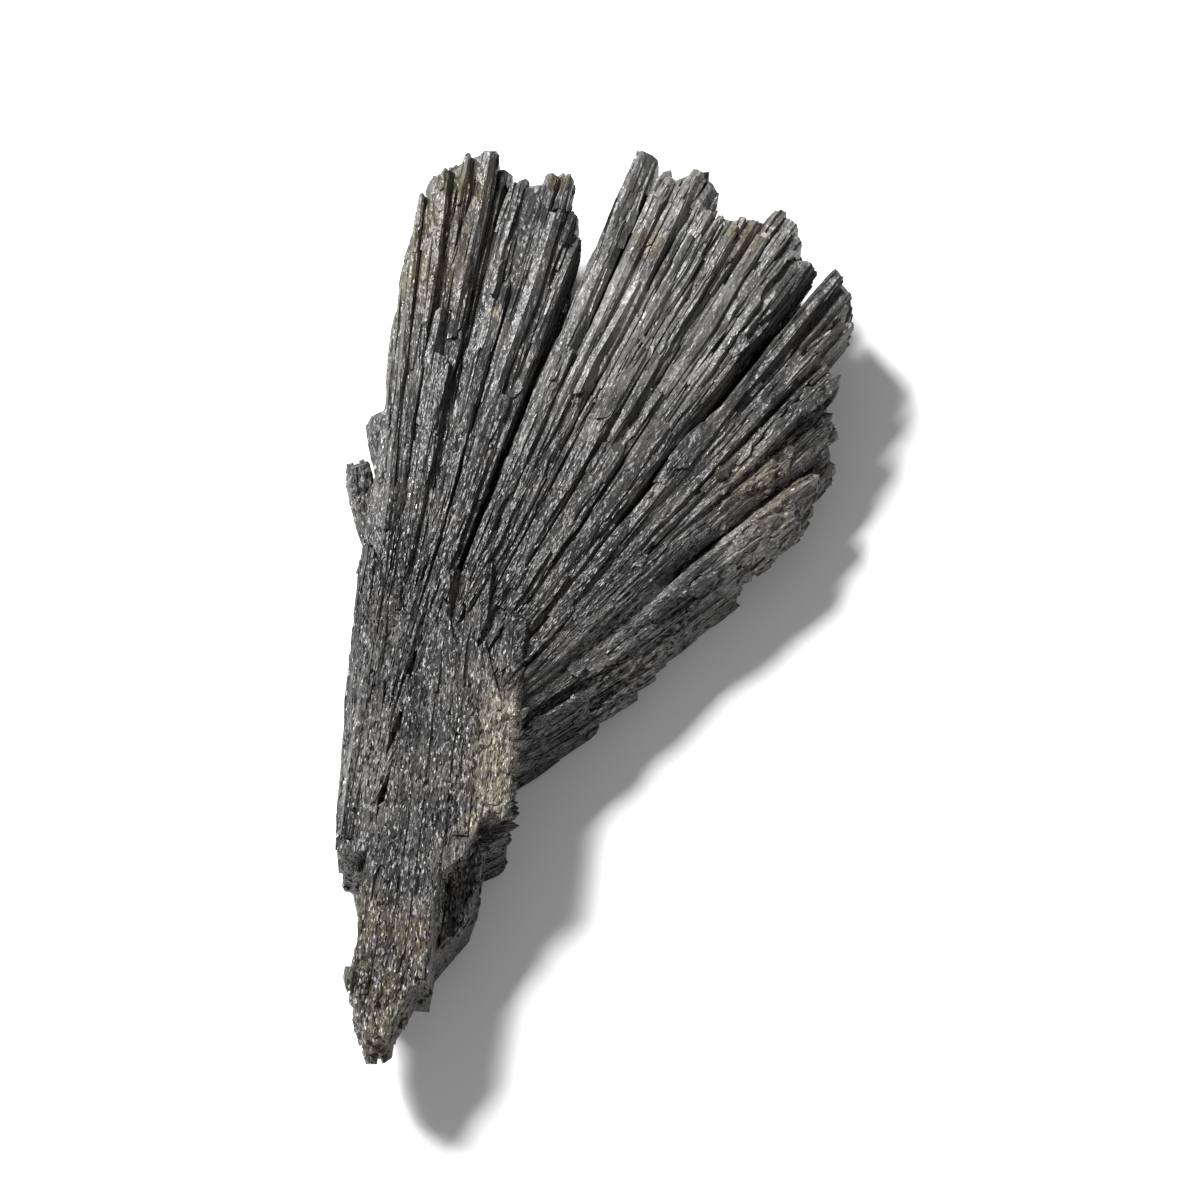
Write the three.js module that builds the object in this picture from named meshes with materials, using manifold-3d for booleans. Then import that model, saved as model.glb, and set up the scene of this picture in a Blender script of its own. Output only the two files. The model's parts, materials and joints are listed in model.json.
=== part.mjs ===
// Black kyanite fan: one spray of crystal blades, grown together and fanning out from a narrow broken stem.
// Millimetres, +Z up. The fan lies on its flat back on Z = 0, with the stem towards -Y and the broad end
// towards +Y. The origin is under the middle of its bounding box. In the tables below, plan points and
// distances are from the apex, where the blades meet. Angles are degrees clockwise from +Y, seen from above.
import * as THREE from 'three';
import { mergeVertices } from 'three/addons/utils/BufferGeometryUtils.js';
import Module from 'manifold-3d';

// Driving dimensions
const SPRAY_RADIUS = 62; // from the apex to the middle of the broken broad end
const THICKNESS = 9; // crest of the highest blades above the flat back, at the broad end
const ROOT_CREST = 0.97; // most that a blade's crest is near the apex, as a share of THICKNESS
const ROOT_RISE = 1.2; // how much a low blade rises towards the apex, as a ratio of its crest at the tip
const FLANK_LIFT = 3.2; // the right-hand blades leave the stem this far above the apex
const FLANK_FROM = 36; // angles between which that lift grows
const FLANK_TO = 50;
const SEED = 11; // picks the small differences between neighbouring laths

// How far neighbouring laths differ
const RAGGED_REACH = 0.006; // of SPRAY_RADIUS, either way at the broken tips
const UNEVEN_CREST = 0.035; // of THICKNESS, either way
const MOST_ROLL = 0.16; // slope of a lath's face across its width
const MOST_SKEW = 0.6; // of a lath's width, how far one corner of its broken tip stands past the other
const MOST_BEND = 0.3; // how far a lath bows to one side
const LATH_OVERLAP = 1.2; // laths of one blade run into each other
const THINNEST_LATH = 0.8; // width at the apex
const UNEVEN_WIDTH = 0.35; // of a lath's width, either way on each side
const BROKEN_SHORT = 0.16; // most that a lath of a blade breaks off before its neighbours, of its reach
const TOP_DEPTH = 0.36; // depth of the top laths, as a share of THICKNESS
const CHIP = [0.3, 0.25]; // how far a chipped tip drops, and how much that differs
const CHIP_START = 0.95; // where the chipped tip of a lath starts, of its length
const STATIONS = [0, 0.5, CHIP_START, 1]; // sections along a lath
const TOP_FLAT = [0.5, 0.4]; // half of a lath's section that is flat on top, and how much that differs
const SIDE_HEIGHT = [0.8, 0.12]; // upright part of a lath's sides, of its height, and how much that differs

// The blades seen from above, left to right, between two angles. The gaps between rows are the deep grooves.
// root: distance where a blade starts. reach: where it breaks off, from its left side to its right side in
// even steps, of SPRAY_RADIUS. crest: height at the tips, and rootCrest at the root where it isn't the usual
// one, of THICKNESS. blunt: the end is one plate under the laths.
const BLADES = [
  {
    name: 'left slab',
    from: 4.7,
    to: 9.9,
    root: 3,
    reach: [0.91, 0.945, 0.97, 0.988, 0.998, 1],
    crest: 0.92,
    rootCrest: 0.86,
    laths: 5,
    blunt: true,
  },
  { name: 'first groove floor', from: 9.8, to: 12, root: 8, reach: [0.99, 0.972], crest: 0.8, laths: 2 },
  {
    name: 'second slab',
    from: 11.9,
    to: 15.7,
    root: 10,
    reach: [0.958, 0.962, 0.97, 0.99, 0.975],
    crest: 0.95,
    laths: 4,
    blunt: true,
  },
  {
    name: 'second slab step',
    from: 15.6,
    to: 17.6,
    root: 14,
    reach: [0.95, 0.92, 0.9],
    crest: 0.92,
    laths: 2,
    blunt: true,
  },
  { name: 'notch floor', from: 17.6, to: 19.3, root: 20, reach: [0.84, 0.845], crest: 0.6, laths: 2 },
  { name: 'long finger', from: 19.3, to: 20.7, root: 12, reach: [1.033, 1.04], crest: 0.98, laths: 1 },
  {
    name: 'twin finger',
    from: 21.3,
    to: 24.2,
    root: 26,
    reach: [1.03, 1.02, 1.04, 1.05],
    crest: 0.96,
    laths: 3,
    blunt: true,
  },
  { name: 'twin finger facet', from: 24.2, to: 25.4, root: 22, reach: [1.05, 1.02], crest: 0.88, laths: 1 },
  {
    name: 'middle blades',
    from: 25.2,
    to: 29.2,
    root: 12,
    reach: [0.985, 0.993, 1.002, 1.012],
    crest: 0.97,
    laths: 5,
    blunt: true,
  },
  { name: 'little finger', from: 29.3, to: 30.4, root: 24, reach: [1.04, 1.048], crest: 0.92, laths: 1 },
  {
    name: 'shoulder',
    from: 30.3,
    to: 32.3,
    root: 14,
    reach: [1.03, 1.025, 1.01],
    crest: 0.95,
    laths: 2,
    blunt: true,
  },
  {
    name: 'long blade',
    from: 32.1,
    to: 34.2,
    root: 12,
    reach: [0.99, 0.985, 0.992, 0.985],
    crest: 1,
    laths: 3,
    blunt: true,
  },
  { name: 'groove floor', from: 34.1, to: 35.4, root: 18, reach: [0.9, 0.93], crest: 0.5, laths: 1 },
  {
    name: 'right blade',
    from: 35.3,
    to: 39.2,
    root: 14,
    reach: [0.998, 0.996, 0.99, 0.97, 0.925],
    crest: 0.9,
    laths: 4,
    blunt: true,
  },
  { name: 'right ledge', from: 39.2, to: 41.6, root: 14, reach: [0.89, 0.86], crest: 0.83, laths: 3 },
  {
    name: 'wing',
    from: 41.5,
    to: 44.7,
    root: 12,
    reach: [0.85, 0.825, 0.815],
    crest: 0.74,
    laths: 3,
    blunt: true,
  },
  { name: 'wing hollow', from: 44.6, to: 47.4, root: 12, reach: [0.805, 0.775], crest: 0.5, laths: 3 },
  {
    name: 'wing edge',
    from: 47.3,
    to: 51.4,
    root: 10,
    reach: [0.75, 0.7, 0.58],
    crest: 0.64,
    laths: 4,
    blunt: true,
  },
  { name: 'flank', from: 51.4, to: 55.4, root: 9, reach: [0.53, 0.39], crest: 0.48, laths: 4 },
  { name: 'lower flank', from: 55.4, to: 58, root: 9, reach: [0.36, 0.24], crest: 0.42, laths: 3 },
];

// Short blades that lie on the others and break off before them, which leaves the terraces and ledges.
const LEDGES = [
  { from: 5.2, to: 7.4, root: 14, reach: 0.52, crest: 0.93, rootCrest: 0.89 },
  { from: 7.6, to: 9.6, root: 14, reach: 0.7, crest: 0.95, rootCrest: 0.9 },
  { from: 11.8, to: 13.7, root: 12, reach: 0.6, crest: 0.98 },
  { from: 14.8, to: 17, root: 14, reach: 0.66, crest: 0.98 },
  { from: 19.2, to: 20.9, root: 12, reach: 0.74, crest: 1.01 },
  { from: 22.1, to: 24.3, root: 16, reach: 0.62, crest: 1 },
  { from: 24.9, to: 27, root: 14, reach: 0.8, crest: 1 },
  { from: 28, to: 30.4, root: 12, reach: 0.66, crest: 1.01 },
  { from: 31.2, to: 33.9, root: 12, reach: 0.7, crest: 1.03 },
  { from: 35.3, to: 37.6, root: 12, reach: 0.78, crest: 0.95 },
  { from: 37.6, to: 41.2, root: 10, reach: 0.74, crest: 0.92 },
  { from: 40.6, to: 43.6, root: 10, reach: 0.63, crest: 0.87 },
  { from: 42.6, to: 44.9, root: 10, reach: 0.73, crest: 0.83 },
  { from: 43.6, to: 47.4, root: 10, reach: 0.52, crest: 0.86 },
  { from: 47.6, to: 50.4, root: 10, reach: 0.69, crest: 0.73 },
  { from: 47.6, to: 51.2, root: 10, reach: 0.47, crest: 0.78 },
  { from: 50.6, to: 53.4, root: 10, reach: 0.42, crest: 0.66 },
  { from: 52.6, to: 56, root: 10, reach: 0.32, crest: 0.62 },
];

// Laths where the blades grow out of the stem, which close the grooves there and break off at all lengths.
const ROOT_RAGGED = 0.1; // of SPRAY_RADIUS, either way at their tips
const ROOT_PLATES = [
  { from: 6.4, to: 9.8, root: 10, reach: [0.3, 0.34], crest: 0.95, rootCrest: 0.92, laths: 2 },
  { from: 11.8, to: 17.2, root: 8, reach: [0.4, 0.34], crest: 0.99, rootCrest: 0.92, laths: 3 },
  { from: 19.4, to: 33.8, root: 6, reach: [0.44, 0.46], crest: 1.01, laths: 7 },
  { from: 35.4, to: 41, root: 6, reach: [0.44, 0.42], crest: 0.97, laths: 3 },
  { from: 41, to: 49, root: 6, reach: [0.4, 0.36], crest: 0.87, laths: 4 },
  { from: 49, to: 56, root: 6, reach: [0.32, 0.24], crest: 0.74, laths: 3 },
];

// The stem: a plate over the apex that narrows in broken steps to the tip, and a lower shelf on its right.
// slope: crest heights at the tip and at the far end.
const STEM_PLATES = [
  {
    name: 'stem',
    outline: [
      [1.7, -11.6], [2.4, -12.3], [3.2, -12.3], [3.9, -11], [4.9, -9.2], [5.2, -8.6], [6.3, -8.2], [6.4, -1],
      [6.8, 0], [8.6, 1.4], [9.5, 3.4], [9.8, 4.4], [11.7, 5.2], [12.1, 11.2], [11.2, 13.8], [10.4, 17],
      [9.6, 22], [7.8, 19], [6.8, 23], [5.9, 18], [5.2, 15.4], [3.5, 8.8], [1.9, 1.8], [1.2, -1.6],
      [1.3, -5.2], [0.8, -7.4], [1, -9.4],
    ],
    slope: [8.5, 9.45],
    base: 4.4,
  },
  {
    name: 'shelf',
    outline: [
      [2, -5], [6.4, -5], [7.2, -3.9], [9, -1.6], [9.6, 0.4], [9.8, 3], [11.5, 4], [11.8, 8], [10, 14],
      [2, 12],
    ],
    slope: [5.6, 8.4],
    base: 1,
  },
];

// Laths on the stem and at the foot of the left slab, given by their two ends.
const STEM_LATHS = [
  { foot: [0.5, 2], head: [2.2, 27], width: [1.7, 2.6], crest: [7.6, 8.1], base: 4.6 },
  { foot: [0.9, 3.4], head: [2.4, 31], width: [1.6, 2.4], crest: [5, 5.7], base: 2 },
  { foot: [0.8, 5.4], head: [2, 25], width: [2, 2.4], crest: [2.6, 3], base: 0.4 },
  { foot: [1.5, 1], head: [3.6, 24], width: [1.6, 2.2], crest: [7, 7.6], base: 2 },
  { foot: [1.3, 2.2], head: [3.4, 22], width: [2.8, 4.2], crest: [7.75, 8.4], base: 1 },
  { foot: [2.7, -12.2], head: [5.2, 16], width: [1.5, 2.4], crest: [8.5, 9.4], base: 4.6 },
  { foot: [1.9, -9.2], head: [4.3, 10], width: [1.5, 2], crest: [8.7, 9.15], base: 4 },
  { foot: [3.9, -8.8], head: [6.9, 24], width: [1.5, 2.6], crest: [8.7, 9.4], base: 4 },
  { foot: [1.5, -6.3], head: [2.7, 3.4], width: [1.2, 1.6], crest: [8.5, 8.9], base: 3 },
  { foot: [5.5, -8], head: [8.4, 20], width: [1.5, 2.2], crest: [8.75, 9.45], base: 3 },
  { foot: [7.3, -2.4], head: [8.4, 9], width: [1.7, 2.4], crest: [6.1, 8], base: 1 },
  { foot: [8.7, 0.2], head: [9.8, 10], width: [1.4, 2], crest: [5.8, 8], base: 1 },
  { foot: [8.5, 3], head: [9.9, 25], width: [1.7, 2.4], crest: [9.05, 9.4], base: 4 },
  { foot: [10.7, 5.4], head: [12.4, 21], width: [1.8, 2.2], crest: [9.1, 9.3], base: 3 },
];

// Two blades of a lower spray that show past the left edge.
const SPUR = [
  { foot: [2.7, 25], head: [0.3, 35.6], width: [1.3, 1.8], crest: [4.8, 5.4], base: 2.4 },
  { foot: [3.4, 29], head: [1.9, 39.6], width: [1.2, 1.8], crest: [5.2, 5.8], base: 2.6 },
];

// Laths in the upright left side, under the top laths of the left slab
const LEFT_SIDE = [
  { foot: [1.6, 19], head: [3.4, 43], width: [1.6, 1.6], crest: [2.6, 2.9], base: 0.6 },
  { foot: [1.8, 22], head: [3.8, 48], width: [1.6, 1.6], crest: [6.6, 6.9], base: 4.9 },
  { foot: [2.5, 33], head: [4.5, 55], width: [1.6, 1.6], crest: [4.6, 4.8], base: 2.2 },
];

// The solid heart of the fan, under all the laths
const CORE_SHARE = 0.84; // of each blade's reach
const CORE_CREST = 0.5; // of THICKNESS
const CORE_FOOT = [[1.6, -4], [0.2, 5], [11, 9], [8, 1.5], [5, -4]]; // its corners in the stem

// Layers under the top laths of a blade: reach and crest are shares of the blade's own, base is a height.
const UNDER_LAYERS = [
  { reach: 0.97, crest: 0.93, base: 3 },
  { reach: 0.92, crest: 0.74, base: 1.6 },
  { reach: 0.9, crest: 0.46, base: -0.4 },
];

// The plate under the tips of a blunt blade's top laths
const RIM_DROP = 0.5; // its face below the crest of the laths
const RIM_DEPTH = 3.2;
const RIM_START = 0.8; // of the blade's reach
const RIM_BEVEL = 0.45; // worn edge

const wasm = await Module();
wasm.setup();

let randomState = SEED;

// An even random number from -1 to 1, the same on each run (a linear congruential generator of 32 bits).
function vary() {
  randomState = (randomState * 1664525 + 1013904223) % 2 ** 32;
  return randomState / 2 ** 31 - 1;
}

// A value that differs by up to its spread, either way.
function varied([middle, spread]) {
  return middle + spread * vary();
}

// A three.js geometry as a solid that can be joined and cut.
function solidOf(geometry) {
  const bare = geometry.clone();
  bare.deleteAttribute('normal');
  bare.deleteAttribute('uv');
  const merged = mergeVertices(bare);
  const vertProperties = new Float32Array(merged.attributes.position.array);
  const triVerts = new Uint32Array(merged.index.array);
  return new wasm.Manifold(new wasm.Mesh({ numProp: 3, vertProperties, triVerts }));
}

// A solid back to a three.js geometry with flat faces.
function geometryOf(solid) {
  const { vertProperties, triVerts } = solid.getMesh();
  const geometry = new THREE.BufferGeometry();
  geometry.setAttribute('position', new THREE.BufferAttribute(new Float32Array(vertProperties), 3));
  geometry.setIndex(new THREE.BufferAttribute(new Uint32Array(triVerts), 1));
  const flat = geometry.toNonIndexed();
  flat.computeVertexNormals();
  return flat;
}

// The plan point on a blade at an angle and a distance from where the blade leaves the stem.
function polar(degrees, distance) {
  const angle = THREE.MathUtils.degToRad(degrees);
  const lift = FLANK_LIFT * THREE.MathUtils.smoothstep(degrees, FLANK_FROM, FLANK_TO);
  return new THREE.Vector2(Math.sin(angle) * distance, Math.cos(angle) * distance + lift);
}

// The value at a share of the way along a list whose values are evenly spaced.
function between(values, share) {
  const place = share * (values.length - 1);
  const before = Math.min(Math.floor(place), values.length - 2);
  return THREE.MathUtils.lerp(values[before], values[before + 1], place - before);
}

// Section of a lath, from -1 to 1 across and 0 to 1 up: upright sides, uneven bevels and a flat top.
function lathSection() {
  return new THREE.Shape([
    new THREE.Vector2(-1, 0),
    new THREE.Vector2(1, 0),
    new THREE.Vector2(1, varied(SIDE_HEIGHT)),
    new THREE.Vector2(varied(TOP_FLAT), 1),
    new THREE.Vector2(-varied(TOP_FLAT), 1),
    new THREE.Vector2(-1, varied(SIDE_HEIGHT)),
  ]);
}

// One flat-faced lath of crystal from its foot to its head, with its width, crest and base at those two ends.
function lath({ foot, head, width, crest, base }) {
  const along = new THREE.Vector2().subVectors(head, foot);
  const length = along.length();
  along.normalize();
  const across = new THREE.Vector2(along.y, -along.x);
  const roll = MOST_ROLL * vary();
  const skew = MOST_SKEW * vary();
  const bend = MOST_BEND * vary();
  const chip = varied(CHIP);
  const geometry = new THREE.ExtrudeGeometry(lathSection(), {
    depth: STATIONS.length - 1,
    steps: STATIONS.length - 1,
    bevelEnabled: false,
  });
  const position = geometry.attributes.position;
  for (let i = 0; i < position.count; i += 1) {
    const share = STATIONS[Math.round(position.getZ(i))];
    const broken = share > CHIP_START ? chip : 0;
    const offset = -position.getX(i) * (1 - broken / 2);
    const side = (offset * THREE.MathUtils.lerp(...width, share)) / 2;
    const run = length * share + skew * side * share;
    const bow = bend * Math.sin(Math.PI * share);
    const low = THREE.MathUtils.lerp(...base, share);
    const high = THREE.MathUtils.lerp(...crest, share) + roll * side - broken;
    position.setXYZ(
      i,
      foot.x + along.x * run + across.x * (side + bow),
      foot.y + along.y * run + across.y * (side + bow),
      THREE.MathUtils.lerp(low, high, position.getY(i)),
    );
  }
  return solidOf(geometry);
}

// A lath that fans out from the apex between two angles.
function fanLath({ from, to, root, reach, crest, base }) {
  const middle = (from + to) / 2;
  const chord = 2 * Math.tan(THREE.MathUtils.degToRad((to - from) / 2)) * LATH_OVERLAP;
  return lath({
    foot: polar(middle, root),
    head: polar(middle, reach),
    width: [Math.max(chord * root, THINNEST_LATH), chord * reach],
    crest,
    base,
  });
}

// The crest of a fan lath at its root and its tip, from its shares there.
function crestHeights({ crest, rootCrest = Math.min(ROOT_CREST, crest * ROOT_RISE) }) {
  const uneven = UNEVEN_CREST * vary();
  return [(rootCrest + uneven / 2) * THICKNESS, (crest + uneven) * THICKNESS];
}

// A lath on the upper face of the fan. reach and crest are shares, as in the tables.
function topLath(row) {
  const crest = crestHeights(row);
  const base = crest.map((height) => height - TOP_DEPTH * THICKNESS);
  return fanLath({ ...row, reach: row.reach * SPRAY_RADIUS, crest, base });
}

// A layer under the whole width of a blade.
function underLayer(row, layer) {
  const reach = Math.min(...row.reach) * layer.reach * SPRAY_RADIUS;
  const crest = crestHeights({ crest: row.crest * layer.crest });
  return fanLath({ ...row, reach, crest, base: [Math.max(layer.base, 0), layer.base] });
}

// The top laths of a blade side by side, some of them broken short.
function topLaths(row, ragged) {
  const step = (row.to - row.from) / row.laths;
  const solids = [];
  let from = row.from;
  for (let i = 1; i <= row.laths; i += 1) {
    const last = i === row.laths;
    const to = last ? row.to : row.from + (i + UNEVEN_WIDTH * vary()) * step;
    const across = (from + to - 2 * row.from) / (2 * (row.to - row.from));
    const short = last || i === 1 ? 0 : BROKEN_SHORT * Math.max(vary(), 0) ** 2;
    const reach = (between(row.reach, across) + ragged * vary()) * (1 - short);
    solids.push(topLath({ ...row, from, to, reach }));
    from = to;
  }
  return solids;
}

// The plate under the tips of a blade, with the outline of its broken end.
function rimPlate(row) {
  const start = RIM_START * Math.min(...row.reach) * SPRAY_RADIUS;
  const tips = row.reach.map((reach, i) => {
    const share = i / (row.reach.length - 1);
    return polar(THREE.MathUtils.lerp(row.from, row.to, share), reach * SPRAY_RADIUS);
  });
  const outline = [polar(row.from, start), ...tips, polar(row.to, start)];
  const geometry = new THREE.ExtrudeGeometry(new THREE.Shape(outline), {
    depth: RIM_DEPTH - 2 * RIM_BEVEL,
    bevelThickness: RIM_BEVEL,
    bevelSize: RIM_BEVEL,
    bevelOffset: -RIM_BEVEL,
    bevelSegments: 1,
  });
  const base = row.crest * THICKNESS - RIM_DROP - RIM_DEPTH;
  return solidOf(geometry.translate(0, 0, base + RIM_BEVEL));
}

// A blade: its top laths, on the plate and the layers that carry them.
function blade(row) {
  const layers = UNDER_LAYERS.map((layer) => underLayer(row, layer));
  const rim = row.blunt ? [rimPlate(row)] : [];
  return [...topLaths(row, RAGGED_REACH), ...rim, ...layers];
}

// A lath given by the plan points of its two ends.
function placedLath(row) {
  const foot = new THREE.Vector2(...row.foot);
  const head = new THREE.Vector2(...row.head);
  return lath({ ...row, foot, head, base: [row.base, row.base] });
}

// A plate with upright sides whose top rises along Y from the tip to the far end.
function slopedPlate({ outline, slope, base }) {
  const shape = new THREE.Shape(outline.map((point) => new THREE.Vector2(...point)));
  const geometry = new THREE.ExtrudeGeometry(shape, { depth: 1, bevelEnabled: false });
  geometry.computeBoundingBox();
  const { min, max } = geometry.boundingBox;
  const position = geometry.attributes.position;
  for (let i = 0; i < position.count; i += 1) {
    const crest = THREE.MathUtils.mapLinear(position.getY(i), min.y, max.y, ...slope);
    position.setZ(i, THREE.MathUtils.lerp(base, crest, position.getZ(i)));
  }
  return solidOf(geometry);
}

// The plate inside the fan that every blade grows on.
function core() {
  const outline = CORE_FOOT.map((point) => new THREE.Vector2(...point));
  const broadEnd = BLADES.flatMap((row) => [
    polar(row.from, row.reach[0] * CORE_SHARE * SPRAY_RADIUS),
    polar(row.to, row.reach[1] * CORE_SHARE * SPRAY_RADIUS),
  ]);
  outline.splice(2, 0, ...broadEnd);
  return solidOf(new THREE.ExtrudeGeometry(new THREE.Shape(outline), {
    depth: CORE_CREST * THICKNESS,
    bevelEnabled: false,
  }));
}

// Everything below the flat back.
function belowBack() {
  const size = 4 * SPRAY_RADIUS;
  return solidOf(new THREE.BoxGeometry(size, size, size).translate(0, 0, -size / 2));
}

// The whole fan as one solid: joined, cut off flat at the back, without the pockets that joining seals in.
function fan() {
  const laths = [
    ...BLADES.flatMap(blade),
    ...LEDGES.map(topLath),
    ...ROOT_PLATES.flatMap((row) => topLaths(row, ROOT_RAGGED)),
    ...STEM_PLATES.map(slopedPlate),
    ...[...STEM_LATHS, ...SPUR, ...LEFT_SIDE].map(placedLath),
  ];
  const joined = laths.reduce((whole, next) => whole.add(next), core());
  const bodies = joined.subtract(belowBack()).decompose();
  return bodies.reduce((largest, body) => (body.volume() > largest.volume() ? body : largest));
}

const kyanite = new THREE.MeshStandardMaterial({ color: 0x33322f, roughness: 0.55, metalness: 0.1 });
const fanMesh = new THREE.Mesh(geometryOf(fan()), kyanite);
fanMesh.name = 'kyanite_fan';

// The origin goes under the middle of the bounding box.
const box = new THREE.Box3().setFromObject(fanMesh);
const middle = box.getCenter(new THREE.Vector3());
fanMesh.position.set(-middle.x, -middle.y, -box.min.z);

const part = new THREE.Group();
part.add(fanMesh);

export default part;
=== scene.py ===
"""Black kyanite fan: the slivered crystal surface, its finish and a small studio, laid out as an add-on."""

import json
import math
import random

import bmesh
import bpy
import numpy as np
from bpy.props import FloatProperty, FloatVectorProperty, IntProperty, PointerProperty
from mathutils import Matrix, Vector
from mathutils.bvhtree import BVHTree

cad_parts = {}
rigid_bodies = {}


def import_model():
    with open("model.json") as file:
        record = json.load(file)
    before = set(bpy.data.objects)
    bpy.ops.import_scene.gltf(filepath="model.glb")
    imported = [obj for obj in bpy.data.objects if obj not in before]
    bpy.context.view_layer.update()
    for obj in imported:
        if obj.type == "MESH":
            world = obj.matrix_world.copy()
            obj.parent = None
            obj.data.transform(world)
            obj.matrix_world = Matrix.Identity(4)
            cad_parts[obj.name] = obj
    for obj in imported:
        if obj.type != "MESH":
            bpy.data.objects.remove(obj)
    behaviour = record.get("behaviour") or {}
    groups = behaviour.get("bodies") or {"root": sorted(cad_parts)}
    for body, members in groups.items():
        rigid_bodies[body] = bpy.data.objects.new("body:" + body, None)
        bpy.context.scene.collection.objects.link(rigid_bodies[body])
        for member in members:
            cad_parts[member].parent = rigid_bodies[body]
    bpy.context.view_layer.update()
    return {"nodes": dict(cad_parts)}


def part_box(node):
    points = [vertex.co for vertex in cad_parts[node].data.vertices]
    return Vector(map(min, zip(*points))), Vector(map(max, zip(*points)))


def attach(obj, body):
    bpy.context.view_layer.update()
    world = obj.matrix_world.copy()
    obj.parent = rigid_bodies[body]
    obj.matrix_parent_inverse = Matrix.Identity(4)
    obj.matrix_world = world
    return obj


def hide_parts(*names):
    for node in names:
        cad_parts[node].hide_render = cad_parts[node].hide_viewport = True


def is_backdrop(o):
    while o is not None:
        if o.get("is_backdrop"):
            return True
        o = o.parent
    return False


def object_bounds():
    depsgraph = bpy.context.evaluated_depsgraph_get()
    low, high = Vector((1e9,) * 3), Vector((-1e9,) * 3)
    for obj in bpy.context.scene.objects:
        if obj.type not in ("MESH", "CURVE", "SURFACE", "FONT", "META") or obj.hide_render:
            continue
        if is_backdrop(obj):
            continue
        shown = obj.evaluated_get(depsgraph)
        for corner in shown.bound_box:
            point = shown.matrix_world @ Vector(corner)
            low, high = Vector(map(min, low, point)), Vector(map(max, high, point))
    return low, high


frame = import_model()

bl_info = {
    "name": "Black kyanite fan",
    "version": (1, 0, 0),
    "blender": (4, 5, 0),
    "location": "3D View > Sidebar > Kyanite",
    "description": "Dresses a fan of black kyanite with crystal slivers and lights it in a small studio",
    "category": "Object",
}

MM = 0.001
FAN_NODE = "kyanite_fan"
FAN_BODY = "root"
MERGE_DISTANCE = 0.0005 * MM

# The apex, where the blades meet, from the low corner of the fan's box, and how far the blades reach
FAN_LOW, FAN_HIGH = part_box(FAN_NODE)
APEX = Vector((FAN_LOW.x + 0.4 * MM, FAN_LOW.y + 12.3 * MM, 0.0))
SPRAY_RADIUS = 62 * MM

# The right-hand blades leave the stem above the apex: how far, and the angles between which that grows
FLANK_LIFT = 3.2 * MM
FLANK_FROM = math.radians(36)
FLANK_TO = math.radians(50)

# The stem's slivers run along the stem. Its place is given from the apex.
STEM_LEAN = 0.09
STEM_BOTTOM_TOP = (3 * MM, 21 * MM)
STEM_LEFT = (1.6 * MM, 0.22)
STEM_RIGHT = 12 * MM
STEM_CREST = 8.5 * MM

# Few slivers stand out on the stem and on the plate in the middle of the fan. The plate lies between these
# angles and distances.
CALM_ANGLES = (math.radians(24), math.radians(33.5))
CALM_DISTANCES = (12 * MM, 46 * MM)
CALM_SHARE = 0.45

# The cover stays at least this far above the floor, and rises at most this far above the solid
LEAST_ABOVE = 0.02 * MM
MOST_ABOVE = 0.15 * MM

# How far out a sliver's tips begin, and how much its rings vary at the tips and between them
TIP_PLACE = 0.9
TIP_WIDTH, TIP_HEIGHT = (0.5, 0.95), (0.55, 0.95)
RING_WIDTH, RING_HEIGHT = (0.75, 1.15), (0.8, 1.15)
RING_SIDEWAYS, RING_UPWARDS, RING_ALONG = (-0.3, 0.3), (-0.2, 0.15), (-0.2, 0.2)
TIP_LEAN_ACROSS, TIP_LEAN_UP = (-1, 1), (-0.6, 0.6)

# How much the corners of lumps, flakes and slabs vary
LUMP_JOLT = (-0.18, 0.18)
FLAKE_RAGGED, FLAKE_UNEVEN = (0.6, 1.15), (0.8, 1.2)
SLAB_JOLTS = [(-0.12, 0.12), (-0.06, 0.06), (-0.06, 0)]

# A sliver lies on faces that the grain runs along by this share or more. Its angles are in degrees, its
# sizes are shares of the largest, and it sinks by a share of its rise and a little more.
LEAST_GRAIN = 0.45
SLIVER_DRIFT, SLIVER_TILT = 1.2, 6
SLIVER_LENGTH, SLIVER_SKEW = (0.15, 1), 1.4
SLIVER_WIDTH, SLIVER_RISE = (0.35, 1), (0.25, 1)
LEAST_SLIVER = 1.2 * MM
SUNK_SHARE, SUNK_LEAST = 1.2, 0.2 * MM

# Lumps lie on faces that the grain runs into by this share or more, and fewer, smaller ones on others
END_FACING = 0.5
OTHER_LUMPS, OTHER_LUMP_SIZE = 0.4, 0.5
LUMP_SIZE, LUMP_STRETCH, LUMP_HEIGHT = (0.3, 1), (1.1, 2.2), (0.6, 1)
LUMP_SUNK, CHUNK_SUNK = (0.22, 0.42), (0.12, 0.36)

# Flakes lie on upper faces within this distance of the apex, and few of them further out. Their sizes are
# shares of the largest, and they lift by some degrees.
UPPER_FACING = 0.6
FLAKED_REACH = 30 * MM
FAR_FLAKES = 0.3
FLAKE_WIDTH, FLAKE_LENGTH, FLAKE_RISE, FLAKE_LIFT = (0.15, 0.4), (0.35, 1), (0.3, 1), 4

# Where the fan is lumpy: places in millimetres from the apex, how far that spreads, and the largest lump
LUMPY_PLACES = [
    ((2.8, -11, 6.5), 4.5, 1.3), ((35.3, 36, 6), 6, 1.5), ((33, 30, 5.5), 5, 1.8),
    ((28, 24.5, 4.5), 6, 1.6), ((11, 8, 9), 4, 0.7), ((7.5, 0, 6), 4, 1.2), ((30.5, 32.5, 5), 5, 1.4),
    ((11.8, 11.5, 8.4), 3, 1.2), ((11.8, 6.5, 8.2), 3, 1.2), ((0.4, 35, 5), 4, 1.1),
]

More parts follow.
